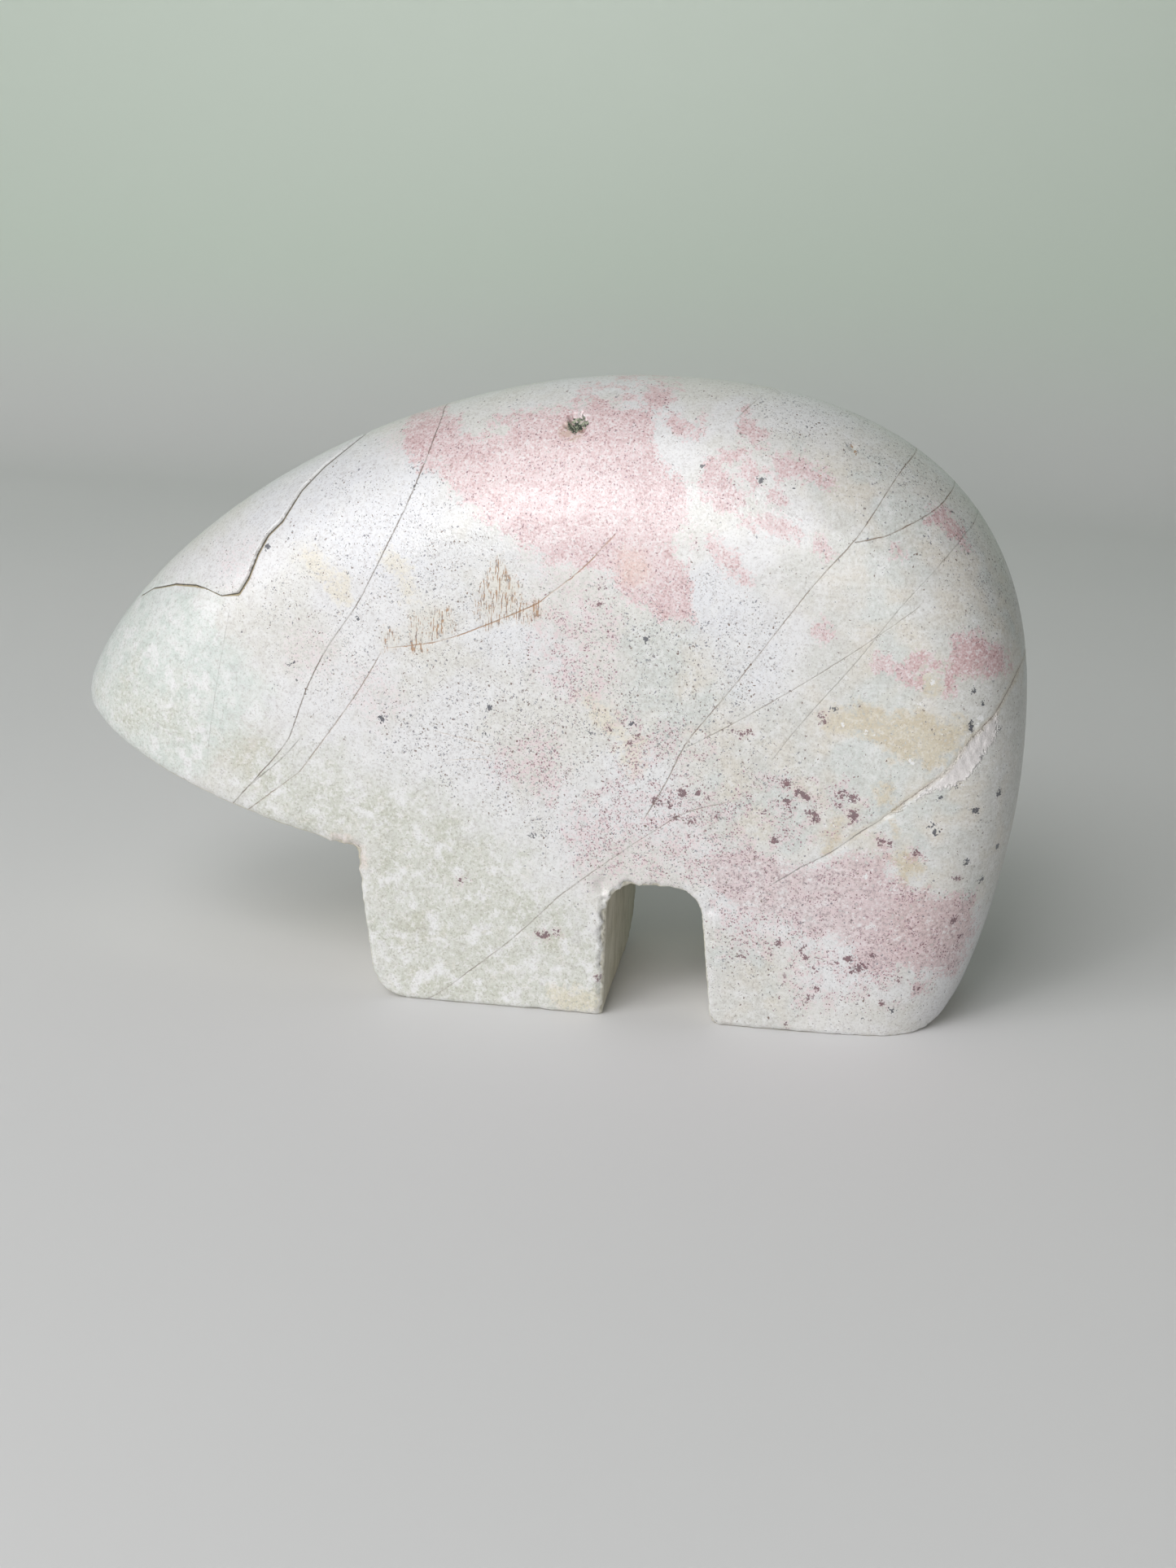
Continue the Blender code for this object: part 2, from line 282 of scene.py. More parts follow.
# Hairlines in three sets, no two of one set near each other: (strength, brownness, row of points)
HAIRLINES = (
    (
        (1.0, 0.15, (-132, 728, -125, 699, -122, 692, -123, 677, -128, 654, -138, 621, -156, 576,
        -194, 495, -207, 473, -232, 436, -245, 412, -261, 377, -278, 328, -285, 314, -306, 286, -357, 227,
        -390, 189)),
        (0.95, 1.0, (-168, 435, -130, 442, -88, 453, 1, 494, 24, 510, 55, 536, 76, 558, 99, 585)),
        (0.85, 0.3, (446, 692, 423, 673, 411, 663, 396, 643, 364, 591, 320, 537, 242, 423, 196, 360,
        183, 338, 167, 300, 141, 249)),
    ),
    (
        (0.75, 0.45, (-168, 435, -198, 381, -263, 287, -276, 273, -327, 231, -365, 199)),
        (0.5, 0.1, (515, 626, 492, 600, 479, 589, 420, 521, 375, 456, 314, 376, 283, 329)),
        (0.7, 0.25, (244, 282, 206, 270, 187, 262, 175, 254, 121, 213, 59, 161, 39, 142, -8, 92, -76, 31,
        -108, 6, -145, -22)),
        (0.55, 0.2, (250, 734, 235, 722, 220, 708)),
    ),
    (
        (0.7, 0.1, (-265, 323, -292, 292, -335, 253)),
        (0.6, 0.2, (444, 524, 344, 446, 246, 378, 183, 339)),
        (0.3, 0.0, (-357, 468, -381, 315, -385, 276)),
        (1.0, 0.3, (494, 654, 469, 637, 450, 622, 408, 601, 393, 595, 359, 587)),
        (0.3, 1.0, (-112, 342, -32, 328)),
        (0.3, 1.0, (-94, 306, -74, 309, -51, 311, -31, 309)),
        (0.35, 0.4, (238, 735, 222, 723)),
    ),
)

# Mineral spots of the shown face, a row for each kind, with x, y, z and radius in turn
SPOTS = (
    # dark
    (269, -150, 308, 29, 353, -149, 399, 29, 478, -145, 303, 34, 473, -145, 270, 29, 477, -144, 261, 34,
    521, -130, 286, 49, 545, -109, 302, 44, 514, -130, 223, 44, 533, -110, 195, 44, 550, -92, 232, 49,
    12, -150, 223, 41, 138, -149, 465, 35, -169, -149, 352, 44, -279, -144, 409, 37, -316, -109, 538, 49,
    256, -127, 650, 44, 293, -127, 645, 25, 506, -134, 426, 39, 508, -136, 386, 64, -26, -146, 527, 35,
    520, -131, 350, 39, 189, -123, 661, 24, 75, -150, 353, 34, 123, -150, 366, 34, -41, -150, 373, 29,
    -47, -150, 341, 29, -198, -145, 468, 29, -140, -115, 621, 29, 442, -140, 37, 34, 469, -146, 268, 30,
    477, -144, 259, 28, 517, -132, 288, 34, 494, -141, 317, 26, 518, -129, 413, 26, 538, -116, 380, 26),
    # maroon
    (382, -149, 278, 54, 382, -149, 268, 29, 338, -149, 273, 49, 341, -149, 267, 39, 380, -149, 297, 44,
    367, -149, 298, 39, 322, -150, 298, 44, 330, -149, 293, 34, 306, -150, 287, 39, 305, -150, 306, 39,
    226, -150, 264, 37, 338, -149, 392, 39, 342, -149, 384, 39, 507, -133, 203, 44, 296, -150, 238, 39,
    304, -150, 249, 34, 282, -150, 272, 34, 333, -149, 106, 39, 265, -149, 92, 39, 345, -149, 45, 39,
    -76, -150, 158, 34, -68, -150, 163, 34, 31, -150, 98, 54, 45, -150, 101, 34, 21, -150, 97, 34,
    98, -150, 48, 54, 187, -150, 289, 49, 171, -150, 274, 44, 153, -150, 275, 34, 178, -150, 257, 39,
    198, -150, 254, 44, 82, -149, 504, 39, 85, -148, 532, 29, 85, -148, 523, 29, 400, -148, 88, 59,
    407, -148, 92, 49, 415, -149, 246, 39, 425, -149, 245, 39, 456, -147, 235, 44, 320, -149, 9, 29,
    515, -115, 126, 39, 506, -127, 151, 44, 340, -149, 96, 32, 349, -149, 81, 36, 336, -149, 111, 28,
    373, -149, 95, 30, 388, -149, 100, 38, 392, -148, 84, 30, 408, -147, 65, 28, 430, -145, 66, 26,
    447, -142, 75, 30, 470, -134, 63, 34, 353, -149, 61, 26, 296, -149, 100, 28, 306, -149, 113, 34,
    267, -149, 97, 30, 255, -150, 116, 26, 316, -149, 70, 30, 431, -143, 46, 26, 416, -148, 106, 26,
    306, -150, 309, 34, 318, -150, 299, 40, 330, -149, 276, 26, 312, -150, 279, 30, 367, -149, 303, 34,
    379, -149, 294, 38, 365, -149, 286, 30, 383, -149, 276, 50, 159, -150, 275, 34, 171, -150, 271, 38,
    187, -150, 289, 30, 176, -150, 307, 26, 151, -150, 294, 26, 132, -150, 353, 30, 122, -150, 343, 26,
    250, -150, 363, 28, 258, -150, 366, 30, 242, -150, 367, 26, 217, -150, 284, 26, 204, -150, 290, 24,
    105, -150, 381, 24, 112, -150, 367, 24, 98, -150, 358, 22),
    # brown
    (350, -83, 690, 28, 353, -80, 686, 30, 356, -86, 681, 26, 318, -118, 656, 22, 321, -120, 652, 20),
    # white
    (393, -149, 373, 40, 397, -149, 372, 30, 443, -148, 343, 38, 364, -149, 382, 28, 501, -139, 320, 26,
    501, -139, 327, 24, 539, -117, 333, 26, 516, -131, 396, 42, 512, -134, 391, 30, 504, -138, 377, 26,
    448, -147, 411, 30, 459, -145, 437, 26, 389, -149, 222, 34, 402, -149, 203, 30, 434, -148, 192, 28,
    476, -145, 378, 26, 378, -149, 292, 30, 357, -149, 264, 28, 283, -149, 101, 30, 335, -149, 85, 28),
)

# Hollows of the shown face, the crystal pit first: (place, radius, depth, raggedness)
PIT = (4.3, -9.4, 69.8)
HOLLOWS = (
    (PIT, 1.4, 0.8, 0.55), ((50.8, -13.6, 38.6), 0.9, 0.14, 0.4),
    ((41.9, -14.7, 28.3), 1.1, 0.12, 0.5), ((35.3, -8.2, 68.6), 0.7, 0.25, 0.4),
)

# Chips on the sawn edges of the shown face: (x, z, radius, depth)
CHIP_PLANE, CHIP_RAGGEDNESS = -14.8, 0.45
CHIPS = (
    (9.6, 16.6, 1.1, 0.60), (10.2, 12.8, 0.9, 0.45), (9.9, 10.4, 0.9, 0.50), (10.1, 8.0, 0.7, 0.35),
    (10.0, 4.3, 0.7, 0.40), (10.1, 0.9, 0.9, 0.45), (12.6, 17.0, 0.9, 0.35), (15.8, 16.9, 0.8, 0.28),
    (9.9, 14.8, 0.6, 0.35), (10.0, 9.2, 0.5, 0.30), (10.1, 6.3, 0.6, 0.32), (10.0, 2.7, 0.6, 0.35),
    (22.4, 14.6, 0.7, 0.25), (22.7, 10.8, 0.6, 0.22), (22.8, 7.6, 0.6, 0.20),
    (-20.3, 18.9, 1.4, 0.55), (-22.3, 19.6, 0.9, 0.30), (-19.9, 17.2, 0.9, 0.35), (-24.2, 20.2, 0.7, 0.20),
    (-19.6, 14.9, 0.7, 0.22), (22.9, 0.3, 1.1, 0.50), (23.0, 5.0, 0.6, 0.12), (2.2, 0.1, 0.8, 0.20),
)


def bed(places):
    """Where a point lies in the beds of the stone, in mm, and how far through it is, from 0 to 1."""
    x, y, z = (np.asarray(places, float) / MM).T
    through = np.clip((y - 3) / 10, 0, 1)
    through = through * through * (3 - 2 * through)
    across = x - through * (9 + 3 * np.sin(z / 11))
    return np.stack([across, z + through * (5 + 2 * np.sin(x / 13))], 1), through


def to_segments(points, line, closed=False):
    """For each point: its distance to a broken line, the side it is on and how far along the line it is."""
    line = np.array(line, float)
    ends = np.roll(line, -1, 0) if closed else line[1:]
    starts = line if closed else line[:-1]
    nearest = np.full(len(points), 1e9)
    side, along = np.ones(len(points)), np.zeros(len(points))
    travelled = 0.0
    for start, end in zip(starts, ends):
        step, offset = end - start, points - start
        length = math.hypot(*step)
        share = np.clip(offset @ step / length**2, 0, 1)
        distance = np.hypot(*(offset - share[:, None] * step).T)
        closer = distance < nearest
        nearest[closer] = distance[closer]
        side[closer] = np.sign(step[0] * offset[closer, 1] - step[1] * offset[closer, 0])
        along[closer] = travelled + share[closer] * length
        travelled += length
    return nearest, side, along, travelled


def depth_inside(points, rings):
    """How far each point is inside the nearest of these outlines, in mm, negative outside."""
    best = np.full(len(points), -9.0)
    for ring in rings:
        distance = to_segments(points, ring, closed=True)[0]
        within = np.zeros(len(points), bool)
        for (x0, z0), (x1, z1) in zip(ring, ring[1:] + ring[:1]):
            if z0 != z1:
                spans = (z0 > points[:, 1]) != (z1 > points[:, 1])
                within ^= spans & (points[:, 0] < (x1 - x0) * (points[:, 1] - z0) / (z1 - z0) + x0)
        best = np.maximum(best, np.where(within, distance, -distance))
    return best


def smooth_step(value, low, high):
    share = np.clip((value - low) / (high - low), 0, 1)
    return share * share * (3 - 2 * share)


def rounded_line(points):
    """The same line led smoothly through its points."""
    points = np.array(points, float)
    padded = np.vstack([2 * points[0] - points[1], points, 2 * points[-1] - points[-2]])
    made = []
    for a, b, c, d in zip(padded, padded[1:], padded[2:], padded[3:]):
        for t in np.arange(3) / 3:
            curve = 2 * b + (c - a) * t + (2 * a - 5 * b + 4 * c - d) * t**2
            made.append(0.5 * (curve + (3 * b - a - 3 * c + d) * t**3))
    return made + [points[-1]]


def crack_field(points, line, fade=1.2):
    """Signed distance in mm, a strength from 1 on the crack to 0 away from it, and the place along it."""
    distance, side, along, total = to_segments(points, line)
    strength = np.clip(np.minimum(along, total - along) / fade, 0, 1) * smooth_step(distance, 1.5, 0.95)
    return distance * side, strength, along


def lumps(places, size, seed=0.0):
    """Smooth noise about 0, from -1 to 1, of this size in mm."""
    offset = Vector((seed, 2 * seed, -seed))
    return np.array([noise.noise(Vector(p) + offset) for p in places / (size * MM)])


# The stone body


def sharp_places(body):
    """Points every 0.3 mm along the sharp edges."""
    found = []
    for edge in body.edges:
        if len(edge.link_faces) == 2 and edge.calc_face_angle() > RIM_ANGLE:
            a, b = (v.co for v in edge.verts)
            count = max(1, int((b - a).length / RIM_STEP))
            found += [a.lerp(b, i / count) for i in range(count + 1)]
    return found


def even_mesh(mesh):
    """The same body in even, small faces."""
    holder = bpy.data.objects.new("even", mesh)
    bpy.context.scene.collection.objects.link(holder)
    remesh = holder.modifiers.new("even", "REMESH")
    remesh.mode = "VOXEL"
    remesh.voxel_size = FACE_SIZE
    graph = bpy.context.evaluated_depsgraph_get()
    made = bpy.data.meshes.new_from_object(holder.evaluated_get(graph))
    bpy.data.objects.remove(holder)
    return made


def numbers_of(items, word, width, kind=np.float32):
    """One property of all these vertices or edges, a row for each."""
    found = np.empty(len(items) * width, kind)
    items.foreach_get(word, found)
    return found.reshape(-1, width)


def places_of(mesh):
    return numbers_of(mesh.vertices, "co", 3).astype(float)


def edges_of(mesh):
    return numbers_of(mesh.edges, "vertices", 2, np.int32)


def put_back(mesh, places):
    mesh.vertices.foreach_set("co", places.astype(np.float32).ravel())
    mesh.update()


def relax(places, edges, weight, passes, steps=(0.5, -0.53)):
    """Evens the surface out. With a negative second step it keeps its volume."""
    a, b = edges.T
    total = len(places)
    around = np.bincount(edges.ravel(), minlength=total)
    for _ in range(passes):
        for step in steps:
            mean = np.stack([np.bincount(a, places[b, i], total) + np.bincount(b, places[a, i], total)
                             for i in range(3)], 1) / around[:, None]
            places = places + (step * weight)[:, None] * (mean - places)
    return places


def nearest_rim(places, rims):
    tree = KDTree(len(rims))
    for i, rim in enumerate(rims):
        tree.insert(rim, i)
    tree.balance()
    return np.array([min(RIM_REACH, tree.find(Vector(p))[2]) for p in places])


def halve_faces(mesh, wanted):
    """Splits each face that has a wanted corner into four."""
    body = bmesh.new()
    body.from_mesh(mesh)
    edges = {edge for face in body.faces if any(wanted[v.index] for v in face.verts) for edge in face.edges}
    bmesh.ops.subdivide_edges(body, edges=list(edges), cuts=1, use_grid_fill=True)
    body.to_mesh(mesh)
    body.free()


def jaw_share(places):
    return smooth_step(places[:, 0], JAW_FROM, JAW_TO)


def draw_back(places, tree, share):
    """Draws points back on to the sawn faces and the edges of the solid."""
    for i in np.nonzero(share > 0)[0]:
        places[i] += share[i] * (np.array(tree.find_nearest(Vector(places[i]))[0]) - places[i])
    return places


def scoop(places, normals, centre, radius, depth, raggedness):
    """Presses a shallow hollow into the surface round a place."""
    reach = np.linalg.norm(places / MM - np.array(centre), axis=1) / radius
    near = reach < 1.25
    ragged = reach[near] + raggedness * lumps(places[near], radius * 0.5, seed=4.0)
    places[near] -= normals[near] * (depth * MM * np.clip(1 - ragged**2, 0, 1))[:, None]


def refine(mesh, rims):
    """Gives the cracks, the pit, the spots and the shown edges smaller faces."""
    spots = np.array([spot[:3] for row in SPOTS for spot in spots_of(row)]) * MM
    for level in range(2):
        places = places_of(mesh)
        at, through = bed(places)
        distance, strength, _ = crack_field(at, OPEN_CRACK)
        wanted = (np.abs(distance) < CRACK_NEAR[level]) & (strength > 0) & (through < 0.7)
        wanted |= np.linalg.norm(places - np.array(PIT) * MM, axis=1) < PIT_NEAR[level]
        if level == 0:
            distance, strength, _ = crack_field(at, ROUGH_SEAM)
            wanted |= (np.abs(distance) < SEAM_NEAR) & (strength > 0) & (through < 0.5)
            wanted |= (depth_inside(at, ZONES["flank"]) > -FLANK_NEAR) & (through < 0.1)
            wanted |= (nearest_rim(places, rims) < RIM_NEAR) & (places[:, 1] < 0)
            for spot in spots:
                wanted |= np.linalg.norm(places - spot, axis=1) < SPOT_NEAR
        halve_faces(mesh, wanted)
    body = bmesh.new()
    body.from_mesh(mesh)
    bmesh.ops.triangulate(body, faces=[face for face in body.faces if len(face.verts) > 4])
    body.to_mesh(mesh)
    body.free()


def carve_bear():
    cad = bmesh.new()
    cad.from_mesh(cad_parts["bear"].data)
    bmesh.ops.remove_doubles(cad, verts=cad.verts, dist=SAME_POINT)
    tree = BVHTree.FromBMesh(cad)
    cad.faces.ensure_lookup_table()
    sawn_faces = [abs(face.normal.y) < 0.01 for face in cad.faces]
    rims = sharp_places(cad)
    start = bpy.data.meshes.new("start")
    cad.to_mesh(start)
    cad.free()
    mesh = even_mesh(start)
    bpy.data.meshes.remove(start)

    # Evened out away from the sawn edges, which stay crisp but for the rubbed edge of the jaw
    places, edges = places_of(mesh), edges_of(mesh)
    rim = nearest_rim(places, rims)
    places = relax(places, edges, smooth_step(rim, CRISP_RIM, EVENED_FROM), EVEN_PASSES)
    jaw = jaw_share(places)
    places = relax(places, edges, jaw * smooth_step(rim, 0.0024, 0.0008), JAW_PASSES, steps=(0.5,))
    put_back(mesh, draw_back(places, tree, (1 - jaw) * smooth_step(rim, 0.0013, CRISP_RIM)))

    refine(mesh, rims)
    places = places_of(mesh)
    rim = nearest_rim(places, rims)
    places = draw_back(places, tree, (1 - jaw_share(places)) * smooth_step(rim, 0.0012, CRISP_RIM))
    put_back(mesh, places)
    sawn = np.array([sawn_faces[tree.find_nearest(Vector(p))[2]] for p in places], float)
    sawn = relax(np.stack([sawn] * 3, 1), edges_of(mesh), np.ones(len(sawn)), 2, steps=(0.5,))[:, 0]
    normals = numbers_of(mesh.vertex_normals, "vector", 3).astype(float)
    at, through = bed(places)

    # A hand-rubbed waviness, and small breaks along the sawn edges, most at the slot and at the notch
    push = WAVINESS * lumps(places, 11.0) + RIPPLE * lumps(places, 3.0, seed=7.0)
    push += sawn * SAW_RIDGES * lumps(places * (1.0, 0.25, 1.0), 0.9, seed=3.0)
    edge_wear = smooth_step(rim, 0.0008, 0.0001)
    x, z = places[:, 0] / MM, places[:, 2] / MM
    by_slot = smooth_step(np.hypot(x - SLOT_EDGE[0], z - SLOT_EDGE[1]), 12.0, 4.0)
    by_notch = smooth_step(np.hypot(x - NOTCH[0], z - NOTCH[1]), 5.5, 1.5)
    rough = np.where(x < -26, 0.05, 0.5 + 2.9 * by_slot + 1.3 * by_notch)
    breaks = np.clip(lumps(places, 1.1, seed=9.0) + 0.10, 0, 1)
    breaks += 1.2 * np.clip(lumps(places, 0.45, seed=5.0), 0, 1)
    push -= BREAK_DEPTH * edge_wear * rough * breaks
    places += normals * (push * MM)[:, None]
    for x, z, radius, depth in CHIPS:
        scoop(places, normals, (x, CHIP_PLANE, z), radius, depth, CHIP_RAGGEDNESS)

    # The soles' shown edge is eased by a narrow bevel
    bevelled = np.clip(1 - places[:, 2] / 0.0006, 0, 1) * smooth_step(places[:, 1], -0.0136, -0.0145)
    places[:, 1] += SOLE_BEVEL * MM * bevelled

    # The open crack: a steep upper wall and a slanting lower one
    distance, strength, along = crack_field(at, OPEN_CRACK)
    strength = strength * smooth_step(through, 0.85, 0.55)
    width = np.interp(along, CRACK_WIDTH_AT, CRACK_WIDTH)
    slant = np.clip(1 - distance / width, 0, 1) * smooth_step(distance, -0.16, -0.02)
    places -= normals * (slant * width * strength * MM)[:, None]

    # The rough seam of the haunch, with a splintered flank below it
    distance, strength, along = crack_field(at, ROUGH_SEAM, fade=5.0)
    strength = strength * smooth_step(through, 0.6, 0.3)
    ragged = distance + 0.20 * lumps(places, 1.2, seed=2.0)
    hollow = strength * SEAM_DEPTH * smooth_step(np.abs(ragged), 0.24, 0.04)
    flank = smooth_step(depth_inside(at, ZONES["flank"]) + 0.3 * lumps(places, 0.8, seed=17.0), -0.05, 0.3)
    splinters = 0.5 + lumps(places * (1.3, 1.0, 0.8), 0.8, seed=6.0) + 0.6 * lumps(places, 0.4, seed=14.0)
    hollow += flank * (through < 0.1) * (FLANK_DEPTH + SPLINTER_DEPTH * splinters)
    places -= normals * (np.clip(hollow, -0.04, 0.3) * MM)[:, None]
    for centre, radius, depth, raggedness in HOLLOWS:
        scoop(places, normals, centre, radius, depth, raggedness)

    low, high = (np.array(c) for c in cad_box)
    places = np.clip(places, low, high)
    put_back(mesh, places)
    mesh.polygons.foreach_set("use_smooth", [True] * len(mesh.polygons))
    write_fields(mesh, places, at, through, sawn, rim)
    return mesh


def write_fields(mesh, places, at, through, sawn, rim):
    """Stores where the colours and cracks lie, one vector field for each set of three."""

    def store(name, *columns):
        field = mesh.attributes.new(name, "FLOAT_VECTOR", "POINT")
        field.data.foreach_set("vector", np.stack(columns, 1).astype(np.float32).ravel())

    zone = {name: np.clip(depth_inside(at, rings), -6, 6) for name, rings in ZONES.items()}
    for name in ("pink", "cream", "low", "blush"):
        zone[name] -= 0.4 * through
    sets = (("pink", "low", "blush"), ("cream", "mint", "olive"), ("warm", "cool", "sage"))
    for letter, names in zip("abc", sets):
        store("zones_" + letter, *(zone[name] for name in names))
    broad = lumps(places, 12.0, seed=1.0) + 0.5 * lumps(places, 5.5, seed=8.0)
    middling = lumps(places, 3.6, seed=12.0) + 0.55 * lumps(places, 1.8, seed=13.0)
    store("grounds", zone["pepper"], broad, middling)
    store("beds", zone["wine"], lumps(places, 1.5, seed=15.0), lumps(places, 0.8, seed=16.0))

    # Spots of the shown face, and a seeded handful of their kind on the hidden one
    kinds = [spots_of(row) for row in SPOTS]
    draw = random.Random(SEED)
    for _ in range(HIDDEN_SPOTS):
        x, z = draw.uniform(8, 46), draw.uniform(3, 30)
        radius = draw.uniform(0.28, 0.5)
        kinds[draw.choice((0, 1, 1))].append((x, HIDDEN_FACE, z, radius))
    depths = []
    for spots in kinds:
        best = np.full(len(places), -3.0)
        for x, y, z, radius in spots:
            best = np.maximum(best, radius - np.linalg.norm(places / MM - (x, y, z), axis=1))
        depths.append(best)
    store("spots", *depths[:3])
    store("flecks", depths[3], zone["peach"], zone["flank"])

    distance, strength, along = crack_field(at, OPEN_CRACK)
    width = np.interp(along, CRACK_WIDTH_AT, CRACK_WIDTH)
    store("gap", distance, strength * smooth_step(through, 0.85, 0.55), width)
    distance, strength, along = crack_field(at, ROUGH_SEAM, fade=1.5)
    store("seam", distance, strength * smooth_step(through, 0.6, 0.3), along)
    for letter, lines in zip("abc", HAIRLINES):
        nearest, best, brown = (np.full(len(places), v) for v in (9.0, 0.0, 0.0))
        for power, brownness, row in lines:
            distance, strength, _ = crack_field(at, rounded_line(points_of(row)))
            use = (strength > 0) & (np.abs(distance) < np.abs(nearest))
            nearest[use], best[use], brown[use] = distance[use], power * strength[use], brownness
        store("hair_" + letter, nearest, best * (1 - 0.35 * through), brown)
    store("marks", zone["dashes"], sawn, smooth_step(rim, 0.0009, 0.0001))


# The stone's finish


def screen(colour):
    """A colour named from 0 to 255 as the light values that the shader takes."""
    linear = [c / 255 / 12.92 if c / 255 <= 0.04045 else ((c / 255 + 0.055) / 1.055) ** 2.4 for c in colour]
    return (*linear, 1.0)


class Finish:
    """Short words for the nodes of one material."""

    def __init__(self, name):
        self.material = bpy.data.materials.new(name)
        self.material.use_nodes = True
        self.nodes, self.links = self.material.node_tree.nodes, self.material.node_tree.links
        self.nodes.clear()
        self.here = self.nodes.new("ShaderNodeTexCoord").outputs["Object"]

    def feed(self, socket, source):
        if isinstance(source, bpy.types.NodeSocket):
            self.links.new(source, socket)
        else:
            socket.default_value = source

    def sums(self, kind, *values):
        node = self.nodes.new("ShaderNodeMath")
        node.operation = kind
        for socket, value in zip(node.inputs, values):
            self.feed(socket, value)
        return node.outputs[0]

    def chain(self, kind, first, *others):
        for other in others:
            first = self.sums(kind, first, other)
        return first

    def add(self, *values):
        return self.chain("ADD", *values)

    def times(self, *values):
        return self.chain("MULTIPLY", *values)

    def minus(self, a, b):
        return self.sums("SUBTRACT", a, b)

    def most(self, *values):
        return self.chain("MAXIMUM", *values)

    def swing(self, cloud, reach):
        """A cloud's value, moved to swing about 0 by up to half this reach."""
        return self.times(self.add(cloud, -0.5), reach)

    def step(self, value, low, high):
        """0 below low and 1 above high, or the other way round where high is the lower."""
        node = self.nodes.new("ShaderNodeMapRange")
        node.interpolation_type = "SMOOTHSTEP"
        first, last = (0.0, 1.0) if low < high else (1.0, 0.0)
        for socket, part in zip(node.inputs, (value, min(low, high), max(low, high), first, last)):
            self.feed(socket, part)
        return node.outputs[0]

    def blend(self, share, under, over):
        node = self.nodes.new("ShaderNodeMix")
        node.data_type = "RGBA"
        for name, source in (("Factor_Float", share), ("A_Color", under), ("B_Color", over)):
            socket = next(s for s in node.inputs if s.identifier == name)
            self.feed(socket, screen(source) if isinstance(source, tuple) and len(source) == 3 else source)
        return next(s for s in node.outputs if s.identifier == "Result_Color")

    def lay(self, under, over, *masks):
        """Lays one colour over another, as strongly as these masks together say."""
        return self.blend(self.times(*masks), under, over)

    def texture(self, kind, where, size, **settings):
        node = self.nodes.new(kind)
        for name, source in (("Vector", where), ("Scale", 1.0 / size), *settings.items()):
            self.feed(node.inputs[name], source)
        return node.outputs

    def clouds(self, where, size, detail=3.0, roughness=0.55):
        return self.texture("ShaderNodeTexNoise", where, size, Detail=detail, Roughness=roughness)["Fac"]

    def stir(self, where, size, reach):
        """The same place moved about by up to half this reach, which gives uneven edges there."""
        colour = self.texture("ShaderNodeTexNoise", where, size, Detail=1.0)["Color"]
        push = self.vector_sums("SUBTRACT", colour, (0.5, 0.5, 0.5))
        return self.vector_sums("ADD", where, self.vector_sums("SCALE", push, reach))

    def cells(self, where, size):
        made = self.texture("ShaderNodeTexVoronoi", where, size)
        return made["Distance"], self.parts(made["Color"])

    def parts(self, vector):
        node = self.nodes.new("ShaderNodeSeparateXYZ")
        self.links.new(vector, node.inputs[0])
        return node.outputs

    def field(self, name):
        """The three numbers of a stored field."""
        node = self.nodes.new("ShaderNodeAttribute")
        node.attribute_name = name
        return self.parts(node.outputs["Vector"])

    def vector_sums(self, kind, a, b):
        node = self.nodes.new("ShaderNodeVectorMath")
        node.operation = kind
        self.feed(node.inputs[0], a)
        self.feed(node.inputs[3] if kind == "SCALE" else node.inputs[1], b)
        return node.outputs[1] if kind == "DISTANCE" else node.outputs[0]

    def surface(self, colour, roughness):
        """The shader that these two feed, joined to the material's output."""
        shader = self.nodes.new("ShaderNodeBsdfPrincipled")
        self.feed(shader.inputs["Base Color"], colour)
        self.feed(shader.inputs["Roughness"], roughness)
        out = self.nodes.new("ShaderNodeOutputMaterial")
        self.links.new(shader.outputs[0], out.inputs["Surface"])
        return shader


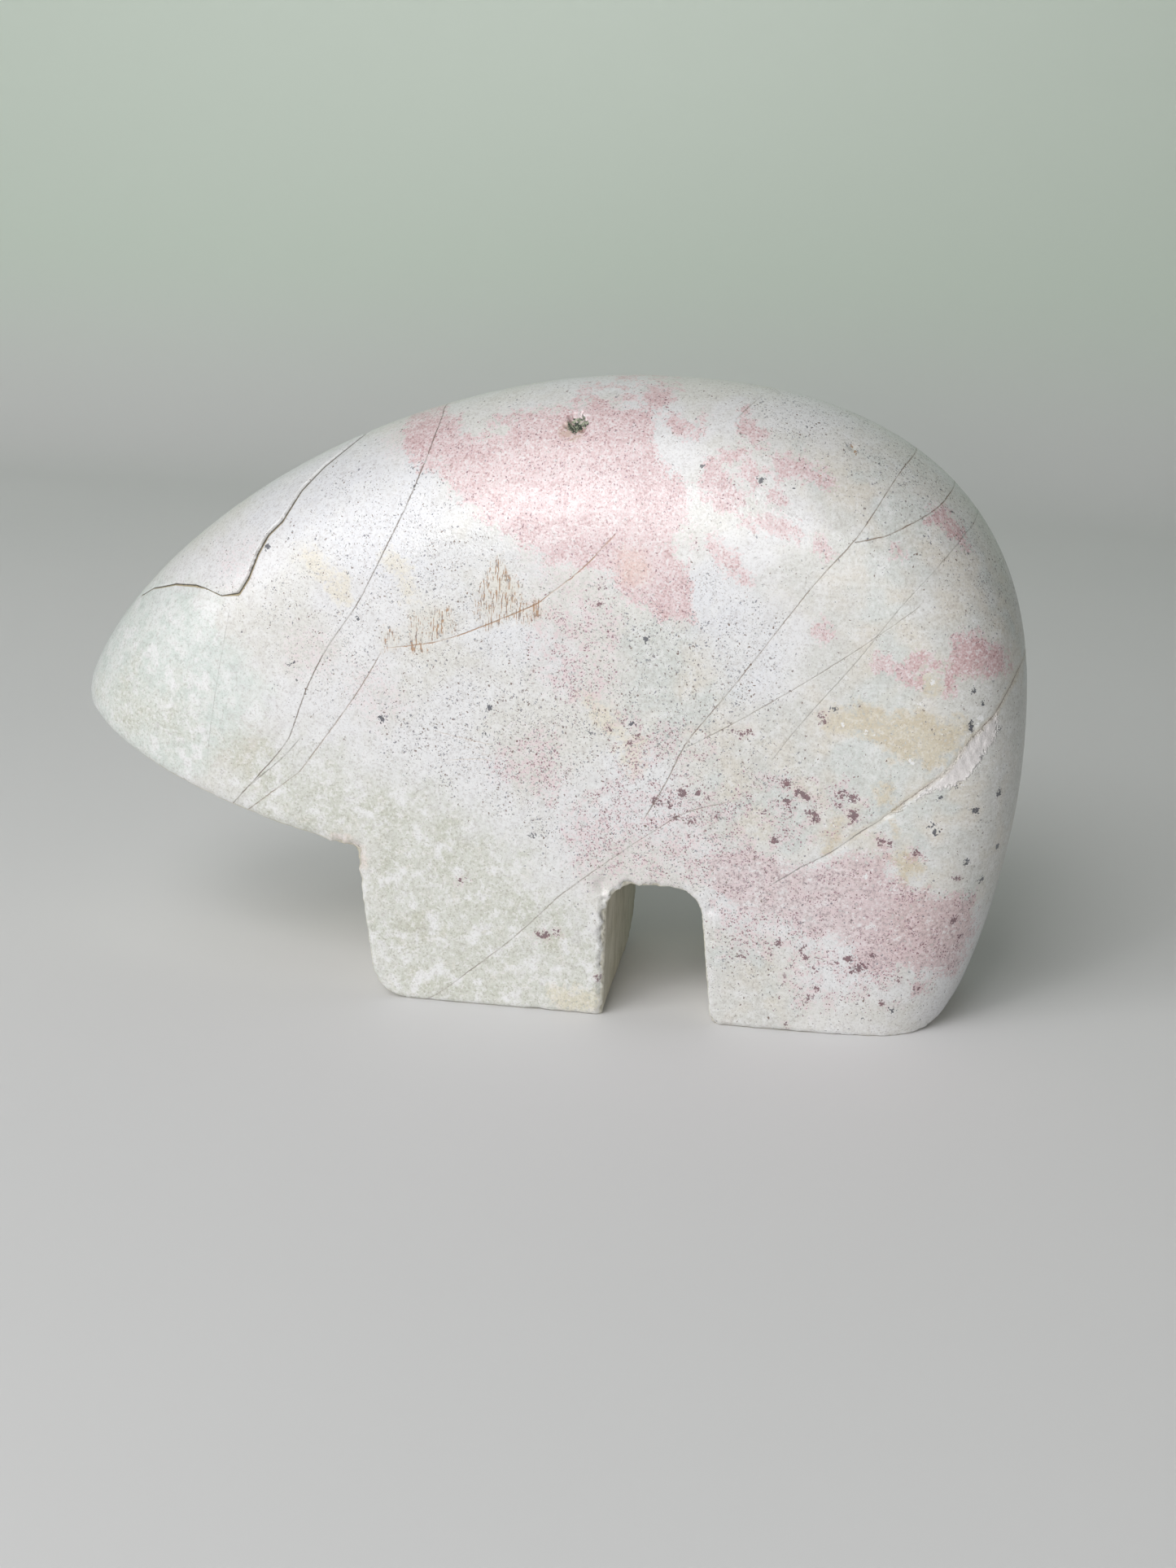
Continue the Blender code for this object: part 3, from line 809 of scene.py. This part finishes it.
def jasper_finish():
    f = Finish("rubbed_jasper")
    mm = f.vector_sums("SCALE", f.here, 1 / MM)
    across, _, up = f.parts(mm)
    pink_in, low_in, blush_in = f.field("zones_a")
    cream_in, mint_in, olive_in = f.field("zones_b")
    warm_in, cool_in, sage_in = f.field("zones_c")
    pepper_in, broad, middling = f.field("grounds")
    wine_in, patchy, curly = f.field("beds")
    dark_in, maroon_in, brown_in = f.field("spots")
    dash_in, sawn, rim = f.field("marks")
    white_in, peach_in, flank_in = f.field("flecks")

    mottle = f.clouds(mm, 1.7, 4.0, 0.66)
    grain = f.clouds(mm, 0.42, 2.0, 0.62)
    sand = f.clouds(mm, 0.24, 1.0)
    curdle = f.clouds(f.vector_sums("ADD", mm, (40.0, 20.0, 0.0)), 2.4, 5.0, 0.68)
    streaks = f.clouds(f.vector_sums("MULTIPLY", mm, (0.12, 0.12, 1.0)), 0.8, 2.0, 0.6)
    uneven = f.stir(mm, 0.3, 0.45)
    crumbs, (crumb_chance, _, crumb_shade) = f.cells(uneven, 0.29)

    def shaken(depth, wide, fine):
        """A depth inside a zone, shaken by mottle and grain, so that its border breaks into flecks."""
        return f.add(depth, f.swing(mottle, wide), f.swing(grain, fine))

    def zone(depth, deep, wide, fine, soft):
        return f.step(shaken(f.sums("MINIMUM", depth, deep), wide, fine), -soft, soft)

    def wide_zone(depth, soft):
        """A zone that fades over millimetres."""
        return f.step(f.add(shaken(depth, 7.0, 1.5), f.times(middling, 2.2)), -soft, soft)

    def specks(cell, smallest, spread, chance):
        """Mineral specks, one at most in a cell of this size in mm, and the draw for their colour."""
        distance, (draw, size, hue) = f.cells(uneven, cell)
        radius = f.add(smallest, f.times(size, size, spread))
        inside = f.step(f.minus(distance, radius), 0.06, -0.05)
        return f.times(inside, f.step(f.minus(chance, draw), 0.0, 0.05)), hue

    # The ground: chalk white with warmer, greyer and colder clouds
    colour = f.blend(f.step(f.add(broad, f.times(patchy, 0.35)), -0.4, 0.4), CHALK, SHELL)
    haunch = f.blend(f.step(f.add(middling, f.times(broad, -0.7)), -0.5, 0.5), STONE_WARM, STONE_GREY)
    haunch = f.lay(haunch, STONE_COLD, f.step(f.add(broad, f.times(middling, 0.5)), 0.05, 0.5), 0.8)
    haunch = f.lay(haunch, CURD, f.step(streaks, 0.48, 0.70), 0.25)
    colour = f.lay(colour, haunch, wide_zone(sage_in, 2.4), 0.85)
    colour = f.lay(colour, BLUE_WHITE, wide_zone(cool_in, 2.6), 0.5)
    tan_patches = f.step(f.add(middling, f.times(curly, 0.5)), -0.3, 0.5)
    colour = f.lay(colour, TAN, wide_zone(warm_in, 1.4), tan_patches, 0.5)
    mint_on = wide_zone(mint_in, 2.2)
    minty = f.blend(f.step(f.add(mottle, f.times(curly, 0.08)), 0.40, 0.62), MINT, MINT_PALE)
    colour = f.lay(colour, minty, mint_on, 0.85)
    olive_on = wide_zone(olive_in, 5.0)
    mossy = f.lay(OLIVE, MOSS, f.step(f.add(f.times(middling, 0.22), mottle), 0.48, 0.70), 0.45)
    mossy = f.lay(mossy, TAN, f.step(f.add(f.times(patchy, 0.2), grain), 0.54, 0.74), 0.35)
    mossy = f.lay(mossy, MOSS, f.step(sand, 0.48, 0.30), 0.55)
    mossy = f.lay(mossy, CURD, f.step(grain, 0.53, 0.66), 0.40)
    colour = f.lay(colour, mossy, olive_on, 0.85)
    curds = f.step(f.add(curdle, f.times(patchy, 0.08)), 0.49, 0.66)
    curd_zone = f.most(f.times(olive_on, 0.95), f.times(mint_on, f.step(broad, -0.3, 0.2)))
    colour = f.lay(colour, CURD, curd_zone, curds, 0.80)
    colour = f.lay(colour, CURD, f.step(curdle, 0.50, 0.66), 0.45)

    # Blushes, cream, pink and the mauve of the haunch
    blotchy = f.add(0.05, f.times(f.step(grain, 0.46, 0.62), 0.45))
    colour = f.lay(colour, BLUSH, zone(blush_in, 1.0, 7.0, 6.0, 1.8), blotchy)
    right_hand = f.step(across, 18.0, 34.0)
    cream_on = f.times(zone(cream_in, 1.4, 5.0, 2.5, 0.8), f.add(0.52, f.times(right_hand, 0.43)))
    creamy = f.blend(right_hand, CREAM_PALE, CREAM)
    sandy = f.step(f.add(f.times(streaks, 0.6), f.times(mottle, 0.5)), 0.50, 0.66)
    creamy = f.lay(creamy, TAN, sandy, f.add(0.2, f.times(right_hand, 0.3)))
    colour = f.lay(colour, creamy, cream_on, f.step(grain, 0.25, 0.45))
    pink_on = zone(pink_in, 1.5, 4.5, 4.0, 0.35)
    rosy = f.blend(f.step(f.add(f.times(patchy, 0.12), mottle), 0.40, 0.62), BLOSSOM, SALMON)
    rosy = f.lay(rosy, MAUVE, f.step(across, 12.0, 45.0), 0.65)
    rosy = f.lay(rosy, ROSE, f.step(across, 38.0, 46.0), 0.5)
    rosy = f.lay(rosy, CURD, f.step(f.add(grain, f.times(curly, 0.06)), 0.50, 0.66), 0.32)
    rosy = f.lay(rosy, CURD, f.step(sand, 0.52, 0.68), 0.35)
    rosy = f.lay(rosy, ROSE, f.step(sand, 0.45, 0.30), 0.85)
    colour = f.lay(colour, rosy, pink_on, 0.92)
    colour = f.lay(colour, PEACH, zone(peach_in, 1.5, 3.0, 3.0, 1.2), 0.5)
    deep_mauve = f.lay(MAUVE, ROSE, f.step(across, 32.0, 46.0), 0.45)
    plummy = f.lay(deep_mauve, PLUM, f.step(grain, 0.46, 0.35), 0.75)
    bands = f.add(f.times(streaks, 0.5), f.times(grain, 0.5), f.times(curly, 0.05))
    plummy = f.lay(plummy, CURD, f.step(bands, 0.53, 0.62), 0.6)
    colour = f.lay(colour, plummy, zone(low_in, 1.3, 5.0, 5.0, 0.35), 0.70)

    # A fine grain over all
    for cloud, low, high, share, tone in (
            (grain, 0.50, 0.68, 0.40, CURD), (grain, 0.48, 0.30, 0.18, UMBER),
            (sand, 0.47, 0.28, 0.23, UMBER), (mottle, 0.47, 0.30, 0.10, UMBER)):
        colour = f.lay(colour, tone, f.step(cloud, low, high), share)

    # Small mineral specks, thick in the peppered and cool beds and rare in the green ones
    lower_haunch = f.times(f.step(across, 21.0, 28.0), f.step(up, 54.0, 44.0), 0.40)
    rarer = f.add(f.times(f.step(across, -8.0, -20.0), 0.45), lower_haunch)
    thick = f.add(f.times(f.step(pepper_in, -4.0, 4.0), f.minus(0.98, rarer)), 0.18)
    cool_share = f.add(-0.10, f.times(f.step(across, 4.0, 14.0), 0.60))
    thick = f.add(thick, f.times(f.step(cool_in, -3.0, 1.5), cool_share))
    thick = f.add(thick, f.times(f.step(low_in, -2.0, 1.0), 0.25))
    clustered = f.step(f.add(f.times(middling, 0.7), f.times(patchy, 0.7)), -0.55, 0.55)
    green = f.most(f.step(mint_in, -3.0, 1.0), f.times(f.step(olive_in, -3.0, 2.0), 0.85))
    thick = f.times(thick, f.add(0.45, f.times(clustered, 0.85)), f.minus(1.0, green))
    thick = f.times(thick, f.minus(1.0, f.times(f.step(pink_in, -0.5, 1.0), 0.48)))
    thick = f.times(thick, f.add(0.45, f.times(f.step(mottle, 0.42, 0.60), 1.1)))
    small_on, small_hue = specks(0.34, 0.12, 0.23, thick)
    large_on, large_hue = specks(0.85, 0.06, 0.13, f.times(thick, 0.6))
    fine_on, fine_hue = specks(0.23, 0.16, 0.23, f.times(thick, 0.65))
    colour = f.lay(colour, f.blend(f.step(fine_hue, 0.35, 0.75), SLATE, UMBER), fine_on, 0.65)
    tone = f.blend(f.step(small_hue, 0.35, 0.75), SLATE, UMBER)
    colour = f.lay(colour, tone, small_on, f.add(0.62, f.times(small_hue, 0.38)))
    colour = f.lay(colour, f.blend(f.step(large_hue, 0.3, 0.8), SLATE, INK), large_on, 0.8)

    # Wine-coloured specks in their beds, in the pink and in the mauve
    wine = f.times(f.step(shaken(wine_in, 5.0, 0.0), -2.0, 2.0), 0.90)
    wine = f.add(wine, f.times(f.step(low_in, -1.5, 1.0), 0.65), f.times(f.step(pink_in, -0.8, 1.0), 0.36))
    wine = f.times(wine, f.step(f.add(f.times(middling, 0.5), patchy), -0.45, 0.45))
    wine_on = f.times(f.step(crumbs, 0.42, 0.24), f.step(f.minus(wine, crumb_chance), 0.0, 0.05))
    colour = f.lay(colour, BLUSH, f.step(wine, 0.10, 0.50), f.step(grain, 0.42, 0.60), 0.45)
    colour = f.lay(colour, f.blend(f.step(crumb_shade, 0.3, 0.8), PLUM, MAROON), wine_on, 0.92)

    # The larger spots, crumbled into grains
    crumble = f.minus(f.swing(grain, 1.6), f.times(f.add(crumbs, -0.35), 0.7))
    crumble = f.add(crumble, f.times(curly, 0.25))
    maroon_edge = f.add(f.add(maroon_in, f.add(crumble, 0.07)), f.swing(crumb_chance, 0.45))
    colour = f.lay(colour, MAUVE, f.step(f.add(maroon_in, f.times(crumble, 1.5)), -0.65, 0.15), 0.45)
    maroon = f.lay(MAROON, INK, crumb_shade, 0.5)
    colour = f.lay(colour, maroon, f.step(maroon_edge, -0.06, 0.14), 0.86)
    ink = f.lay(INK, SLATE, crumb_shade, 0.5)
    for depth, low, high, share, tone in (
            (dark_in, -0.08, 0.08, 0.92, ink), (brown_in, -0.05, 0.10, 0.8, RUST),
            (white_in, -0.04, 0.12, 0.9, CURD)):
        colour = f.lay(colour, tone, f.step(f.add(depth, crumble), low, high), share)

    # Rust dashes standing on the brown hairline
    strokes = f.clouds(f.vector_sums("MULTIPLY", f.stir(mm, 0.8, 0.25), (1.0, 1.0, 0.10)), 0.16, 1.0)
    colour = f.lay(colour, CREAM, f.step(shaken(dash_in, 4.0, 2.0), -1.4, 1.2), 0.35)
    dash_on = f.times(f.step(strokes, 0.54, 0.61), f.step(shaken(dash_in, 3.5, 2.0), -0.6, 0.1))
    colour = f.lay(colour, f.blend(f.step(crumb_shade, 0.5, 0.9), RUST, UMBER), dash_on, 0.85)

    # Hairlines
    shake = f.add(f.swing(grain, 0.12), f.swing(mottle, 0.20))
    broken = f.add(0.40, f.times(f.step(mottle, 0.36, 0.58), 0.60))
    hairs = []
    for letter in "abc":
        distance, strength, brown = f.field("hair_" + letter)
        off = f.sums("ABSOLUTE", f.add(distance, shake))
        hairs.append(f.times(f.step(off, 0.095, 0.030), strength, broken))
        colour = f.lay(colour, f.blend(brown, HAIRLINE, RUST), hairs[-1], 0.90)
    hair_on = f.most(*hairs)

    # The open crack: dark at its upper wall, tan on the slanting one
    distance, strength, width = f.field("gap")
    share = f.sums("DIVIDE", distance, width)
    wall = f.times(f.step(distance, -0.10, -0.02), f.step(share, 1.08, 0.90), f.step(strength, 0.2, 0.7))
    tan = f.blend(f.step(f.add(share, f.swing(grain, 0.7)), 0.12, 0.42), CRACK_DARK, CRACK_TAN)
    colour = f.blend(wall, colour, tan)

    # The rough seam of the haunch: a thin dark line, tan lips, a whitened, splintered flank and a painted
    # highlight on the lip below the line
    distance, strength, along = f.field("seam")
    ragged = f.add(distance, f.add(f.swing(mottle, 1.0), f.swing(grain, 0.5)))
    torn = f.step(f.add(flank_in, f.swing(grain, 1.6)), -0.2, 0.3)
    torn_tone = f.blend(f.step(along, 23.0, 25.0), TORN, CRACK_TAN)
    colour = f.lay(colour, torn_tone, torn, f.add(0.42, f.times(sand, 0.9)))
    # Painted highlight: a whitish band on the lip just below the seam line, standing in for light catching
    # that lip
    lip_highlight = f.times(f.step(ragged, 0.0, 0.15), f.step(ragged, 0.8, 0.5))
    lip_highlight = f.times(lip_highlight, f.step(along, 17.0, 21.0), f.step(along, 31.0, 26.0))
    colour = f.lay(colour, CURD, lip_highlight, strength, 0.45)
    lips = f.times(f.step(f.sums("ABSOLUTE", ragged), 0.6, 0.1), strength, f.step(along, 36.0, 28.0))
    colour = f.lay(colour, TAN, lips, 0.30)
    off = f.sums("ABSOLUTE", f.add(distance, f.times(shake, 1.5)))
    seam_on = f.times(f.step(off, 0.10, 0.03), strength)
    faded = f.minus(1.0, f.times(f.step(along, 12.0, 14.0), f.step(along, 21.0, 19.0), 0.7))
    seam_tone = f.blend(f.step(along, 20.0, 32.0), UMBER, HAIRLINE)
    colour = f.lay(colour, seam_tone, seam_on, broken, faded, 0.75)

    # The crystal pit, with a rusty stain below it
    pit_edge = f.add(f.vector_sums("DISTANCE", mm, PIT), f.swing(mottle, 2.0), f.swing(grain, 1.6))
    below = f.vector_sums("DISTANCE", mm, (PIT[0] - 0.5, PIT[1] - 0.5, PIT[2] - 0.9))
    stain = f.step(f.add(below, f.swing(mottle, 2.0)), 1.9, 1.0)
    colour = f.lay(colour, RUST, stain, f.step(grain, 0.35, 0.55), 0.5)
    druze = f.blend(f.step(crumb_shade, 0.25, 0.85), DRUZE_DARK, DRUZE_LIGHT)
    pit_on = f.step(pit_edge, 1.22, 0.98)
    colour = f.blend(pit_on, colour, druze)

    # Sawn faces: unpolished and greyer, with upright saw marks
    saw_marks = f.clouds(f.vector_sums("MULTIPLY", mm, (1.0, 1.0, 0.10)), 0.45, 2.0, 0.6)
    sawn_on = f.step(sawn, 0.35, 0.85)
    dusty = f.blend(f.step(f.add(f.times(middling, 0.2), saw_marks), 0.38, 0.66), SAWN, SAWN_DARK)
    colour = f.lay(colour, dusty, sawn_on, 0.75)
    colour = f.lay(colour, CURD, rim, f.step(mottle, 0.42, 0.6), 0.4)

    # The polish, duller on the specks and gone from the sawn faces, the crack and the pit
    dull = f.most(wall, pit_on, sawn_on)
    speck_mask = f.most(small_on, large_on, f.times(wine_on, 0.6))
    roughness = f.add(0.42, f.swing(mottle, 0.16), f.times(speck_mask, 0.12), f.times(dull, 0.38))
    stone = f.surface(colour, f.sums("MINIMUM", roughness, 0.92))
    height = f.minus(f.add(f.times(grain, 0.6), f.times(sand, 0.25)), f.times(hair_on, 1.2))
    height = f.add(height, f.times(sawn_on, saw_marks, 1.4), f.times(pit_on, grain, 3.0))
    height = f.add(height, f.times(torn, mottle, 5.0))
    bump = f.nodes.new("ShaderNodeBump")
    bump.inputs["Strength"].default_value = 0.6
    bump.inputs["Distance"].default_value = 0.00008
    f.feed(bump.inputs["Height"], height)
    f.feed(stone.inputs["Normal"], bump.outputs[0])
    stone.inputs["IOR"].default_value = 1.54
    f.feed(stone.inputs["Coat Weight"], f.times(f.minus(1.0, dull), 0.45))
    stone.inputs["Coat Roughness"].default_value = 0.17
    f.feed(stone.inputs["Coat Normal"], bump.outputs[0])
    return f.material


bear = bpy.data.objects.new("bear_carving", carve_bear())
bpy.context.scene.collection.objects.link(bear)
bear.data.materials.append(jasper_finish())
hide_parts("bear")
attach(bear, "root")


# The plain floor, swept up into a plain backdrop, in metres

FLOOR_HALF_WIDTH, FLOOR_FRONT, FLOOR_BACK = 2.0, -1.6, 0.32
SWEEP_RADIUS, BACKDROP_RISE = 0.16, 1.4


def moved_out(body, edges, way):
    """Draws these edges out into faces and moves the new ones this way."""
    made = bmesh.ops.extrude_edge_only(body, edges=edges)["geom"]
    bmesh.ops.translate(body, verts=[v for v in made if isinstance(v, bmesh.types.BMVert)], vec=way)
    return made


def swept_floor():
    body = bmesh.new()
    ends = [body.verts.new((x, FLOOR_FRONT, 0.0)) for x in (-FLOOR_HALF_WIDTH, FLOOR_HALF_WIDTH)]
    back = moved_out(body, [body.edges.new(ends)], (0, FLOOR_BACK - FLOOR_FRONT, 0))
    turned = bmesh.ops.spin(body, geom=back, cent=(0, FLOOR_BACK, SWEEP_RADIUS), axis=(1, 0, 0),
                            angle=math.radians(90), steps=16)
    last = [g for g in turned["geom_last"] if isinstance(g, bmesh.types.BMEdge)]
    moved_out(body, last, (0, 0, BACKDROP_RISE))
    mesh = bpy.data.meshes.new("floor")
    body.to_mesh(mesh)
    body.free()
    mesh.polygons.foreach_set("use_smooth", [True] * len(mesh.polygons))
    return bpy.data.objects.new("floor", mesh)


def floor_finish():
    f = Finish("pale_floor")
    pale = f.blend(f.step(f.clouds(f.here, 0.25, 2.0), 0.3, 0.7), FLOOR_GREY, FLOOR_SHADE)
    pale = f.blend(f.step(f.parts(f.here)[2], 0.0, 0.06), pale, BACKDROP)
    f.surface(pale, f.add(0.52, f.times(f.clouds(f.here, 0.01, 3.0), 0.08)))
    return f.material


floor = swept_floor()
bpy.context.scene.collection.objects.link(floor)
floor.data.materials.append(floor_finish())


# Light: soft windows at the front and the left, a top light and a low fill, all looking at the bear

AIM = Vector((0.0, 0.0, 0.035))

# (name, degrees to the right of the front, degrees up, distance, width, height, power, colour)
LIGHTS = (
    ("window_gleam", -15, 20, 0.95, 0.32, 0.32, 3.4, (1.0, 0.985, 0.99)),
    ("window", -15, 45, 0.95, 0.4, 0.4, 2.2, (1.0, 0.985, 0.985)),
    ("left_window", -45, 25, 0.95, 0.5, 0.5, 3.0, (1.0, 0.99, 0.99)),
    ("ceiling", -45, 62, 1.2, 0.8, 0.8, 2.3, (0.98, 1.0, 0.98)),
    ("low_front", 0, 8, 0.95, 0.5, 0.3, 2.1, (1.0, 1.0, 0.98)),
)
GLEAM_ONLY = "window_gleam"

for name, azimuth, elevation, distance, width, height, power, colour in LIGHTS:
    lamp = bpy.data.lights.new(name, "AREA")
    lamp.shape, lamp.size, lamp.size_y = "RECTANGLE", width, height
    lamp.energy, lamp.color = power, colour
    holder = bpy.data.objects.new(name, lamp)
    a, e = math.radians(azimuth), math.radians(elevation)
    way = Vector((math.sin(a) * math.cos(e), -math.cos(a) * math.cos(e), math.sin(e)))
    holder.location = AIM + distance * way
    holder.rotation_euler = (AIM - holder.location).to_track_quat("-Z", "Y").to_euler()
    holder.visible_diffuse = name != GLEAM_ONLY
    bpy.context.scene.collection.objects.link(holder)

world = bpy.data.worlds.new("room")
world.use_nodes = True
world.node_tree.nodes["Background"].inputs[0].default_value = (0.95, 1.0, 0.96, 1.0)
world.node_tree.nodes["Background"].inputs[1].default_value = 0.05
bpy.context.scene.world = world
bpy.context.scene.view_settings.view_transform = "Standard"


# The camera, at the photograph's viewing angle

YAW, PITCH, ROLL = (math.radians(v) for v in (8.0762, 17.6183, 1.7015))
CAMERA_PLACE = (0.0413372, -0.2528884, 0.1053342)


def stand_camera():
    ahead = Vector((-math.sin(YAW), math.cos(YAW), 0))
    level = Vector((math.cos(YAW), math.sin(YAW), 0))
    forward = math.cos(PITCH) * ahead - math.sin(PITCH) * Vector((0, 0, 1))
    upright = math.sin(PITCH) * ahead + math.cos(PITCH) * Vector((0, 0, 1))
    right = math.cos(ROLL) * level + math.sin(ROLL) * upright
    above = -math.sin(ROLL) * level + math.cos(ROLL) * upright
    lens = bpy.data.cameras.new("camera")
    lens.lens, lens.sensor_width, lens.clip_start = 50.0, 36.0, 0.01
    camera = bpy.data.objects.new("camera", lens)
    turn = Matrix((right, above, -forward)).transposed().to_4x4()
    camera.matrix_world = Matrix.Translation(CAMERA_PLACE) @ turn
    bpy.context.scene.collection.objects.link(camera)
    bpy.context.scene.camera = camera


stand_camera()
